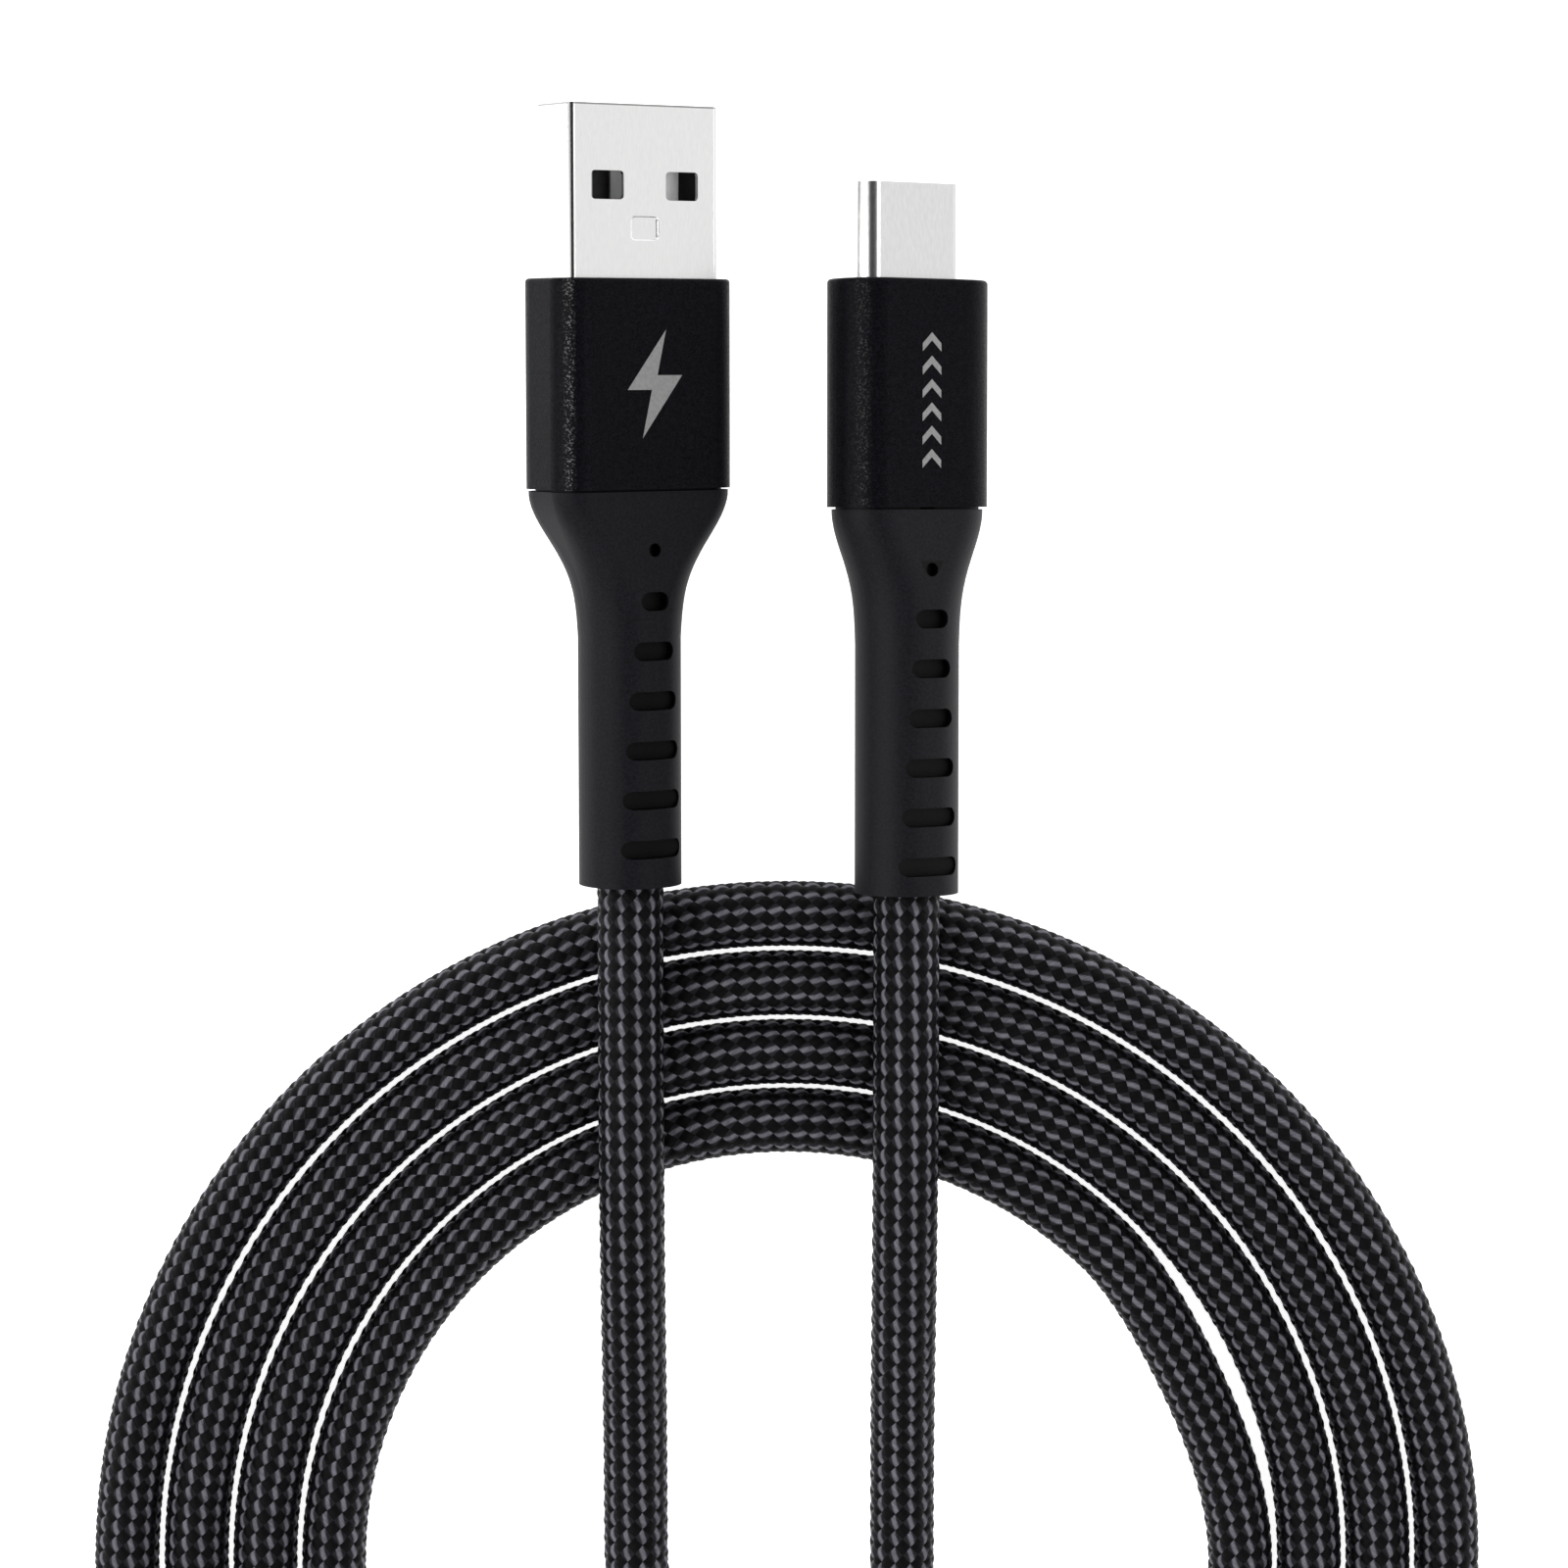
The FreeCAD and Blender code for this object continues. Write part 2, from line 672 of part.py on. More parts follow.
def make_a_contacts(name, offset, reach):
    """One pair of contacts on the tongue, with tails towards the wires."""
    top = get("a_tongue_height") - get("a_shell_height") / 2 + get("a_shell_wall") + get("fit_gap") * 2
    front = get("a_shell_out") - get(reach)
    length = front + get("a_shell_in") + get("a_contact_tail")
    pair = []
    for side in (-1, 1):
        body = new_body(f"{name}_{'left' if side < 0 else 'right'}")
        sketch = new_sketch(body, "XY_Plane", top)
        draw_box(sketch, get("a_contact_width"), length, get(offset) * side, front - length / 2)
        pad(body, sketch, get("a_contact_thickness"))
        pair.append(body)
    keep_group(pair, name, A_PLACE)


def make_a_inner_mould():
    """The moulded block inside the housing, around the shell's rear and the wires."""
    body = new_body("usb_a_inner_mould")
    inner = get("a_housing_wall") * 2 + get("fit_gap") * 2
    start = get("a_housing_wall") + get("fit_gap")
    end = get("a_housing_length") - get("spigot_length") - get("fit_gap")
    along(
        body,
        lambda sketch: draw_rounded_box(
            sketch,
            get("a_housing_width") - inner,
            get("a_housing_height") - inner,
            get("a_housing_round") - get("a_housing_wall"),
        ),
        start,
        end - start,
    )
    seat_w = get("a_shell_width") + get("fit_gap") * 2
    seat_h = get("a_shell_height") + get("fit_gap") * 2
    seat_end = get("a_shell_in") + get("fit_gap")
    seat_round = get("a_shell_round")
    bore(body, lambda sketch: draw_rounded_box(sketch, seat_w, seat_h, seat_round), as_dim(0), seat_end)
    cavity_w, cavity_h = get("a_cavity_width"), get("a_cavity_height")
    bore(body, lambda sketch: draw_box(sketch, cavity_w, cavity_h), as_dim(0))
    keep(body, "usb_a_inner_mould", A_PLACE)


# ---- USB-C plug ----


def make_c_shell():
    """The seamless drawn shell."""
    body = new_body("usb_c_shell")
    width, height = get("c_shell_width"), get("c_shell_height")
    wall, tip = get("c_shell_wall"), get("c_shell_out")
    along(body, lambda sketch: draw_slot(sketch, width / 2, height), -tip, tip + get("c_shell_in"))
    bore(body, lambda sketch: draw_slot(sketch, width / 2 - wall, height - wall * 2), -tip - CUT_MARGIN)
    keep(body, "usb_c_shell", C_PLACE)


def make_c_insulator():
    """The insulator inside the shell, with the mating slot in its front."""
    body = new_body("usb_c_insulator")
    inside = get("c_shell_wall") + get("fit_gap")
    front = -get("c_shell_out") + get("c_insulator_recess")
    length = get("c_shell_in") - get("c_insulator_back") - front
    reach, height = get("c_shell_width") / 2 - inside, get("c_shell_height") - inside * 2
    along(body, lambda sketch: draw_slot(sketch, reach, height), front, length)
    slot_w, slot_h = get("c_slot_width"), get("c_slot_height")
    depth = get("c_slot_depth") + CUT_MARGIN
    bore(body, lambda sketch: draw_box(sketch, slot_w, slot_h), front - CUT_MARGIN, depth)
    keep(body, "usb_c_insulator", C_PLACE)


def make_c_contacts(name, side):
    """One row of spring contacts along the slot's upper or lower wall."""
    thickness = get("c_contact_thickness")
    middle = (get("c_slot_height") / 2 - get("fit_gap") - thickness / 2) * side
    start = -get("c_shell_out") + get("c_contact_recess")
    row_bodies = []
    for i, place in enumerate(C_CONTACT_PLACES):
        body = new_body(f"{name}_{i + 1}")
        sketch = new_sketch(body, "XZ_Plane", start)
        draw_box(sketch, get("c_contact_width"), thickness, get("c_contact_pitch") * place, middle)
        pad(body, sketch, get("c_contact_length"))
        row_bodies.append(body)
    keep_group(row_bodies, name, C_PLACE)


def make_c_latch():
    """The U-shaped latch spring: two side arms and the bridge behind the contacts."""
    body = new_body("usb_c_latch")
    thickness, bridge, arm = get("c_latch_thickness"), get("c_latch_bridge"), get("c_latch_arm")
    height = get("c_latch_height")
    behind = get("c_insulator_recess") + get("c_slot_depth") - get("fit_gap") - get("c_shell_out")
    reach = get("c_slot_width") / 2 - get("fit_gap")
    sketch = new_sketch(body, "XY_Plane", -height / 2)
    draw_box(sketch, reach * 2, bridge, 0.0, bridge / 2 - behind)
    pad(body, sketch, height)
    for side in (-1, 1):
        sketch = new_sketch(body, "XY_Plane", -height / 2)
        draw_box(sketch, thickness, arm, (reach - thickness / 2) * side, bridge / 2 + arm / 2 - behind)
        pad(body, sketch, height)
    keep(body, "usb_c_latch", C_PLACE)


def make_c_rear_shield():
    """The steel can around the circuit board."""
    body = new_body("usb_c_rear_shield")
    start = get("c_shell_in") + get("fit_gap")
    wall = get("c_shield_wall")
    width, height = get("c_shield_width"), get("c_shield_height")
    along(body, lambda sketch: draw_box(sketch, width, height), start, get("c_shield_length"))
    bore(body, lambda sketch: draw_box(sketch, width - wall * 2, height - wall * 2), start - CUT_MARGIN)
    keep(body, "usb_c_rear_shield", C_PLACE)


def make_c_board():
    """The small circuit board behind the insulator, and the pull-up resistor on it."""
    board = new_body("usb_c_pcb")
    start = get("c_shell_in") + get("fit_gap") * 2
    sketch = new_sketch(board, "XY_Plane", -get("c_board_height") / 2)
    length = get("c_board_length")
    draw_box(sketch, get("c_board_width"), length, 0.0, -(start + length / 2))
    pad(board, sketch, get("c_board_height"))
    keep(board, "usb_c_pcb", C_PLACE)
    resistor = new_body("usb_c_resistor")
    sketch = new_sketch(resistor, "XY_Plane", get("c_board_height") / 2)
    behind = start + get("resistor_behind")
    draw_box(sketch, get("resistor_width"), get("resistor_length"), get("resistor_offset"), -behind)
    pad(resistor, sketch, get("resistor_height"))
    keep(resistor, "usb_c_resistor", C_PLACE)


def make_c_inner_mould():
    """The light insert inside the rim, around the shell's rear and the shield."""
    body = new_body("usb_c_inner_mould")
    inner = get("c_housing_wall") * 2 + get("fit_gap") * 2
    start = get("c_insert_recess")
    end = get("c_housing_length") - get("spigot_length") - get("fit_gap")
    along(
        body,
        lambda sketch: draw_rounded_box(
            sketch,
            get("c_housing_width") - inner,
            get("c_housing_height") - inner,
            get("c_housing_round") - get("c_housing_wall"),
        ),
        start,
        end - start,
    )
    gap = get("fit_gap") * 2
    bore(
        body,
        lambda sketch: draw_slot(sketch, (get("c_shell_width") + gap) / 2, get("c_shell_height") + gap),
        as_dim(0),
    )
    shield_w, shield_h = get("c_shield_width") + gap, get("c_shield_height") + gap
    bore(body, lambda sketch: draw_box(sketch, shield_w, shield_h), get("c_shell_in"))
    keep(body, "usb_c_inner_mould", C_PLACE)


# ---- the free cord ----


def make_coil():
    """The four rings as one flat band. Each ring's lower half is half a pitch wider, to move outwards."""
    pitch, inner_ring = float(get("ring_pitch")), float(get("inner_ring"))
    half = float(get("cord_diameter")) / 2
    inner = inner_ring - half
    next_inner = inner + pitch
    outer = inner_ring + (RINGS - 1) * pitch + half
    shift = pitch / 2
    across = Vector(math.cos(math.radians(A_LAST_HEADING)), math.sin(math.radians(A_LAST_HEADING)), 0)
    forward = Vector(-across.y, across.x, 0)
    end = Vector(A_ROUTE[-1][0], A_ROUTE[-1][1], 0)
    lead = end.dot(forward)

    def on_face(radius):
        """Where the face that the first lead meets crosses a circle about the coil's middle."""
        return across * math.sqrt(radius**2 - lead**2) + forward * lead

    def arc(centre_x, radius, start, stop):
        circle = Part.Circle(Vector(centre_x, 0, 0), Vector(0, 0, 1), radius)
        return Part.ArcOfCircle(circle, start, stop).toShape()

    def angle(point):
        return math.atan2(point.y, point.x)

    outline = Part.Wire(
        [
            arc(0, outer, 0, math.pi),
            Part.LineSegment(Vector(-outer, 0, 0), Vector(pitch - outer, 0, 0)).toShape(),
            arc(shift, outer - shift, math.pi, 2 * math.pi),
        ]
    )
    near, far = on_face(inner), on_face(next_inner)
    hole = Part.Wire(
        [
            arc(0, inner, angle(near), math.pi),
            arc(shift, inner + shift, math.pi, 2 * math.pi),
            arc(0, next_inner, 0, angle(far)),
            Part.LineSegment(far, near).toShape(),
        ]
    )
    plate = Part.Face(outline).cut(Part.Face(hole)).Faces[0]
    solid = plate.extrude(Vector(0, 0, 2 * half))
    rims = [
        edge
        for edge in solid.Edges
        if edge.BoundBox.ZLength < FLAT
        and edge.Curve.TypeId == "Part::GeomCircle"
        and edge.Curve.Radius > outer - pitch
    ]
    solid = solid.makeFillet(float(get("coil_edge_round")), rims)
    feature = doc.addObject("Part::Feature", "cord_coil")
    feature.Shape = solid
    keep(feature, "cord_coil", Placement(COIL_MIDDLE, Rotation()))


def make_cord():
    """The two leads and the coil between them."""
    diameter = float(get("cord_diameter"))
    start = A_BOOT_END - COIL_MIDDLE
    end = C_BOOT_END - COIL_MIDDLE
    place = Placement(COIL_MIDDLE, Rotation())
    a_length, a_radii = tube("cord_run_a", (tuple(start), *A_ROUTE), diameter, place)
    c_length, c_radii = tube("cord_run_c", (*C_ROUTE, tuple(end)), diameter, place)
    make_coil()
    inner_ring, pitch = float(get("inner_ring")), float(get("ring_pitch"))
    upper = sum(math.pi * (inner_ring + i * pitch) for i in range(RINGS))
    lower = sum(math.pi * (inner_ring + (i + 0.5) * pitch) for i in range(RINGS - 1))
    skipped = inner_ring * math.radians(A_LAST_HEADING)
    print("run A radii", [round(r, 1) for r in a_radii], "length", round(a_length, 1))
    print("run C radii", [round(r, 1) for r in c_radii], "length", round(c_length, 1))
    print("cord length", round(a_length + c_length + upper + lower - skipped, 1))


def make_a_plug():
    make_a_shell()
    make_a_tongue()
    make_a_contacts("usb_a_power_contacts", "a_power_contact_offset", "a_power_contact_reach")
    make_a_contacts("usb_a_data_contacts", "a_data_contact_offset", "a_data_contact_reach")
    make_a_inner_mould()
    gap = get("fit_gap")
    width, height = get("a_shell_width") + gap * 2, get("a_shell_height") + gap * 2
    radius = get("a_shell_round") + gap
    make_housing("a", A_PLACE, lambda sketch: draw_rounded_box(sketch, width, height, radius))
    make_boot("a", A_SLOT_REACH, A_FIRST_SLOT, A_HOLE_BEHIND, A_PLACE)
    make_crimp("a", A_PLACE)
    make_wires("a", A_WIRE_ENDS, A_WIRES_BEHIND, A_PLACE)
    make_cord_end("a", A_PLACE)


def make_c_plug():
    make_c_shell()
    make_c_insulator()
    make_c_contacts("usb_c_contacts_upper", 1)
    make_c_contacts("usb_c_contacts_lower", -1)
    make_c_latch()
    make_c_rear_shield()
    make_c_board()
    make_c_inner_mould()
    make_housing("c", C_PLACE, None)
    make_boot("c", C_SLOT_REACH, C_FIRST_SLOT, C_HOLE_BEHIND, C_PLACE)
    make_crimp("c", C_PLACE)
    make_wires("c", C_WIRE_ENDS, C_WIRES_BEHIND, C_PLACE)
    make_cord_end("c", C_PLACE)


def check():
    """Stops on a failed object, or on a sub-part with no valid solid."""
    doc.recompute()
    for obj in doc.Objects:
        if "Invalid" in obj.State or "Error" in obj.State:
            raise RuntimeError(f"{obj.Name} failed: {obj.State}")
    for obj in parts:
        if obj.Shape.isNull() or not obj.Shape.isValid() or not obj.Shape.Solids:
            raise RuntimeError(f"{obj.Label} has no valid solid")


make_a_plug()
make_c_plug()
make_cord()
check()
os.makedirs("parts", exist_ok=True)
for obj in parts:
    obj.Shape.exportStep(f"parts/{obj.Label}.step")
print(len(parts), "sub-parts; boot ends", A_BOOT_END, C_BOOT_END)
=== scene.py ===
import math

import bpy
import numpy as np
from mathutils import Matrix, Vector


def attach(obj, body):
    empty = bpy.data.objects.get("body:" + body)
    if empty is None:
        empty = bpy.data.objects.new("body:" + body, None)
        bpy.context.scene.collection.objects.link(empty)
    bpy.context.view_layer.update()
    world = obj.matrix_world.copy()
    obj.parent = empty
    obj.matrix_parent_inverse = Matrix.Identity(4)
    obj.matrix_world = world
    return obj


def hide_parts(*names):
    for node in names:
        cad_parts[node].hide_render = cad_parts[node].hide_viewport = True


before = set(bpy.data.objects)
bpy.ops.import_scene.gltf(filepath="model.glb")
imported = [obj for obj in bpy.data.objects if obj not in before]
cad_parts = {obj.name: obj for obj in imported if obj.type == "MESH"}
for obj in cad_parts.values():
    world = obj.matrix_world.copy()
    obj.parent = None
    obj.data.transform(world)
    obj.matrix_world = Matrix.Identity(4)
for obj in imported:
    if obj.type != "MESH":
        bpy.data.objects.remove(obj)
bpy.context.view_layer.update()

# Lengths below are in millimetres unless a name says otherwise. The row frame is in metres.
MM = 0.001


# ---- how the plugs lie ----


BOOT_END_Z = 7.1
A_HALF_WIDTH, A_HALF_HEIGHT, A_CORNER = 7.1, 3.45, 2.1
C_HALF_WIDTH, C_HALF_HEIGHT, C_CORNER = 5.9, 3.2, 3.0
A_MIDDLE_X, A_MIDDLE_Z = A_HALF_WIDTH - A_CORNER, A_HALF_HEIGHT - A_CORNER
C_MIDDLE_X, C_MIDDLE_Z = C_HALF_WIDTH - C_CORNER, C_HALF_HEIGHT - C_CORNER


def plug_frame(axis_x, rim_y, roll, middle_x, middle_z, corner, length):
    """A plug's place in the row frame, worked out as the CAD does: its rim lies on the surface, and its boot
    ends at a set height. middle_x and middle_z are where the housing's corner arcs have their middles."""
    turn = math.radians(roll)
    drop = middle_x * math.sin(turn) + middle_z * math.cos(turn) + corner
    pitch = math.asin((BOOT_END_Z - drop) / length)
    turned = Matrix.Rotation(-pitch, 4, "X") @ Matrix.Rotation(turn, 4, "Y")
    return Matrix.Translation((axis_x, rim_y, drop * math.cos(pitch))) @ turned


A_FRAME = plug_frame(
    axis_x=-9.0,
    rim_y=15.45,
    roll=34.0,
    middle_x=A_MIDDLE_X,
    middle_z=A_MIDDLE_Z,
    corner=A_CORNER,
    length=42.05,
)
C_FRAME = plug_frame(
    axis_x=10.35,
    rim_y=15.35,
    roll=30.0,
    middle_x=C_MIDDLE_X,
    middle_z=C_MIDDLE_Z,
    corner=C_CORNER,
    length=42.65,
)


# ---- materials ----

UNCHANGED = (1.0, 1.0, 1.0)  # a tint or a stretch that does nothing
STREAKED = 3000.0  # what the mesh's UV adds along the streaked yarns, to tell them from the black ones
STREAK_LEAN = 0.5  # how far a painted highlight streak leans towards the cord's axis, across for each step along its yarn


def grey(level, tint=UNCHANGED):
    """A colour from its 0 to 255 screen level."""
    value = (level / 255) ** 2.2
    return (value * tint[0], value * tint[1], value * tint[2], 1.0)


class Look:
    """One material's node tree."""

    def __init__(self, name, metallic=0.0, **sockets):
        self.material = bpy.data.materials.new(name)
        self.material.use_nodes = True
        self.tree = self.material.node_tree
        self.shader = self.tree.nodes["Principled BSDF"]
        self.shader.inputs["Metallic"].default_value = metallic
        for socket, value in sockets.items():
            self.shader.inputs[socket.replace("_", " ")].default_value = value

    def node(self, kind, inputs=(), **settings):
        made = self.tree.nodes.new("ShaderNode" + kind)
        for key, value in settings.items():
            setattr(made, key, value)
        for socket, value in dict(inputs).items():
            if isinstance(value, bpy.types.NodeSocket):
                self.tree.links.new(value, made.inputs[socket])
            else:
                made.inputs[socket].default_value = value
        return made

    def link(self, output, socket):
        self.tree.links.new(output, self.shader.inputs[socket])

    def math(self, operation, a, b=0.0):
        return self.node("Math", {0: a, 1: b}, operation=operation).outputs[0]

    def scaled(self, value, low, high):
        spread = self.node("MapRange", {"Value": value, "To Min": low, "To Max": high})
        return spread.outputs["Result"]

    def eased(self, value, start, end, top=1.0):
        """0 at the start, top at the end and smooth between them."""
        spread = {"Value": value, "From Min": start, "From Max": end, "To Max": top}
        return self.node("MapRange", spread, interpolation_type="SMOOTHSTEP").outputs["Result"]

    def blend(self, share, first, second):
        """The first value or colour, with the given share of the second one."""
        return self.node("Mix", {"Factor": share, 6: first, 7: second}, data_type="RGBA").outputs[2]

    def added(self, first, second, weight):
        """Two values added together, the second one times the weight."""
        return self.math("ADD", first, self.math("MULTIPLY", second, weight))

    def ramp(self, value, *stops):
        made = self.node("ValToRGB", {"Fac": value})
        elements = made.color_ramp.elements
        while len(elements) < len(stops):
            elements.new(0.5)
        for element, (position, colour) in zip(elements, stops):
            element.position, element.color = position, colour
        return made.outputs["Color"]

    def noise(self, scale, detail=2.0, stretch=UNCHANGED, where=None):
        """Noise in the object's own metres, or in the coordinates given."""
        if where is None:
            where = self.node("TexCoord").outputs["Object"]
        place = self.node("Mapping", {"Vector": where, "Scale": stretch}).outputs["Vector"]
        return self.node("TexNoise", {"Vector": place, "Scale": scale, "Detail": detail}).outputs["Fac"]

    def bump(self, height, depth):
        made = self.node("Bump", {"Height": height, "Distance": depth * MM, "Strength": 1.0})
        self.link(made.outputs["Normal"], "Normal")


def grained(name, dark, light, rough, scale, depth, metallic=0.0, stretch=UNCHANGED, painted_darkening=None, **sockets):
    """Colour, roughness and height that follow one fine grain. The optional mask function gives where painted
    shade and painted dark reflections fade the colour to black.
    """
    look = Look(name, metallic, **sockets)
    grain = look.noise(scale, 3.0, stretch)
    colour = look.ramp(grain, (0.35, dark), (0.65, light))
    # painted shade and painted dark reflections: near black blended in where the mask is set
    if painted_darkening:
        colour = look.blend(painted_darkening(look), colour, grey(3))
    look.link(colour, "Base Color")
    look.link(look.scaled(grain, *rough), "Roughness")
    look.bump(grain, depth)
    return look.material


def woven(name, black, grey_yarn_and_sheen):
    """Black yarns one way and, the other way, slightly lighter yarns with a leaning painted highlight streak
    over each crossing.
    The mesh's UV says how far across and along its yarn a point lies."""
    look = Look(name, 0.0, Specular_IOR_Level=0.07)
    uv = look.node("UVMap", uv_map="yarn").outputs["UV"]
    axes = look.node("SeparateXYZ", {0: uv})
    streaked = look.math("GREATER_THAN", axes.outputs["Y"], STREAKED / 2)
    across = look.math("SUBTRACT", look.math("FRACT", axes.outputs["X"]), 0.5)
    along = look.math("SUBTRACT", look.math("FRACT", axes.outputs["Y"]), 0.5)
    fibres = look.noise(1.0, 2.0, (22.0, 1.3, 1.0), uv)
    blotch = look.noise(700.0)
    tone = look.added(look.math("MULTIPLY", fibres, 0.7), blotch, 0.3)
    off_streak = look.math("ABSOLUTE", look.added(across, along, STREAK_LEAN))
    # painted highlight: the lighter yarns turn bright grey in a leaning streak on each crossing
    on_streak = look.eased(look.added(off_streak, tone, -0.12), 0.28, 0.02)
    share = look.math("MULTIPLY", streaked, look.scaled(on_streak, 0.1, 1.0))
    black_tone = look.ramp(tone, (0.35, black[0]), (0.7, black[1]))
    grey_and_sheen_tone = look.ramp(tone, (0.35, grey_yarn_and_sheen[0]), (0.7, grey_yarn_and_sheen[1]))
    look.link(look.blend(share, black_tone, grey_and_sheen_tone), "Base Color")
    look.link(look.scaled(fibres, 0.35, 0.55), "Roughness")
    look.bump(fibres, 0.04)
    return look.material


NECK_CORNER = 3.3  # the radius of the corners of a boot's neck
SLOT_FLOOR = 0.12  # how far inside the neck's outline a point must lie to get the slots' painted shade
MOUTH_EDGE = 0.13  # how wide the painted dark reflection along a shell's mouth is


def from_corner(look, place, middle_x, middle_z):
    """How far a point lies across, along and up from its nearest corner's middle, as the plug sees it."""
    turned = place.inverted()
    settings = {
        "Vector": look.node("TexCoord").outputs["Object"],
        "Scale": (1 / MM,) * 3,
        "Rotation": turned.to_euler(),
        "Location": turned.translation,
    }
    own = look.node("SeparateXYZ", {0: look.node("Mapping", settings).outputs["Vector"]})
    x, y, z = (own.outputs[i] for i in range(3))
    x = look.math("SUBTRACT", look.math("ABSOLUTE", x), middle_x)
    z = look.math("SUBTRACT", look.math("ABSOLUTE", z), middle_z)
    return x, y, z


def painted_slot_shade(place, first, last, middle_x, middle_z):
    """Marks what lies under the boot's outline between its first hole and last slot, where painted shade
    darkens the slots' insides.
    """

    def mask(look):
        x, y, z = from_corner(look, place, middle_x, middle_z)
        x = look.math("MAXIMUM", x, 0.0)
        reach = look.math("SQRT", look.added(look.math("MULTIPLY", x, x), z, z))
        under = look.math("LESS_THAN", reach, NECK_CORNER - SLOT_FLOOR)
        behind_first = look.math("LESS_THAN", y, -first)
        before_last = look.math("GREATER_THAN", y, -last)
        return look.math("MULTIPLY", under, look.math("MULTIPLY", behind_first, before_last))

    return mask


def painted_edge_darkening(place, tip, corner, middle_x, middle_z):
    """Marks a plug shell's rolled corners and the edge of its mouth, where painted dark reflections darken
    the plating's colour.
    """

    def mask(look):
        x, y, z = from_corner(look, place, middle_x, middle_z)
        turn = look.math("DIVIDE", look.math("MINIMUM", x, z), corner)
        rolled = look.eased(turn, 0.2, 0.55, 0.75)
        mouth = look.math("MULTIPLY", look.math("GREATER_THAN", y, tip - MOUTH_EDGE), 0.6)
        return look.math("MAXIMUM", rolled, mouth)

    return mask


def blasted(name, dark, light, place, corner, middle_x, middle_z, painted_highlight):
    """Bead-blasted anodised metal: fine pebbles, with a painted highlight of bright pebbles along the
    housing's rounded corners.
    """
    look = Look(name, 0.0, Specular_IOR_Level=0.035)
    where = look.node("TexCoord").outputs["Object"]
    pebble = look.node("TexVoronoi", {"Vector": where, "Scale": 11000.0})
    flake = look.node("SeparateColor", {"Color": pebble.outputs["Color"]}).outputs["Red"]
    cloud = look.noise(2600.0)
    pebbled = look.added(look.math("MULTIPLY", flake, 0.65), cloud, 0.35)
    x, _, z = from_corner(look, place, middle_x, middle_z)
    turn = look.math("DIVIDE", look.math("MINIMUM", x, z), corner)
    body = look.ramp(pebbled, (0.25, dark), (0.85, light))
    painted_glints = look.ramp(flake, (0.3, light), (0.7, painted_highlight[0]), (0.97, painted_highlight[1]))
    # painted highlight: the band round each corner takes the bright pebble colours
    look.link(look.blend(look.eased(turn, 0.5, 0.72), body, painted_glints), "Base Color")
    look.link(look.scaled(flake, 0.42, 0.26), "Roughness")
    look.bump(pebbled, 0.03)
    return look.material


A_SHELL_HALF_WIDTH, A_SHELL_HALF_HEIGHT, A_SHELL_CORNER = 6.0, 2.25, 0.45
A_SHELL_MIDDLE = (A_SHELL_HALF_WIDTH - A_SHELL_CORNER, A_SHELL_HALF_HEIGHT - A_SHELL_CORNER)
# Painted dark reflections on the USB-A shell's rolled corners and along its mouth.
A_PAINTED_EDGES = painted_edge_darkening(A_FRAME, 11.8, A_SHELL_CORNER, *A_SHELL_MIDDLE)
# Painted shade inside the slots of both boots.
A_SLOT_SHADE = painted_slot_shade(A_FRAME, first=18.0, last=40.4, middle_x=0.25, middle_z=0.15)
C_SLOT_SHADE = painted_slot_shade(C_FRAME, first=19.4, last=41.6, middle_x=0.3, middle_z=0.15)

# How metals and plastics are finished: roughness, scale of the grain, its depth, metal, and stretch.
ROLLED = ((0.2, 0.25), 9000.0, 0.0003, 1.0, (1, 0.2, 1))
BRUSHED = ((0.28, 0.42), 3000.0, 0.002, 1.0, (1, 0.1, 1))
SATIN = ((0.45, 0.6), 3000.0, 0.001, 0.7, (1, 0.1, 1))
PLATED = ((0.2, 0.32), 4000.0, 0.001, 1.0)
RUBBERY = ((0.45, 0.6), 5200.0, 0.012)
INSULATION = ((0.38, 0.5), 2500.0, 0.003)
LACQUER = ((0.3, 0.42), 2500.0, 0.002)

INKY = (0.97, 0.97, 1.35)
ANODISED = (grey(16, INKY), grey(28, INKY))
BOOT = (grey(19, (0.97, 0.98, 1.4)), grey(28, (0.97, 0.98, 1.4)), *RUBBERY)
BLACK_YARN = (grey(8, (0.97, 0.97, 1.3)), grey(19, (0.97, 0.97, 1.3)))
# The lighter yarns' grey: a tenth of it tints them, and in full it is the painted highlight streak.
GREY_YARN_AND_SHEEN = (grey(76, (0.98, 0.97, 1.16)), grey(134, (0.98, 0.97, 1.12)))
# The colours of the painted highlight along each housing's rounded corners.
A_PAINTED_GLINTS, C_PAINTED_GLINTS = (grey(30), grey(110)), (grey(24), grey(64))
A_HOUSING = (A_FRAME, A_CORNER, A_MIDDLE_X, A_MIDDLE_Z, A_PAINTED_GLINTS)
C_HOUSING = (C_FRAME, C_CORNER, C_MIDDLE_X, C_MIDDLE_Z, C_PAINTED_GLINTS)

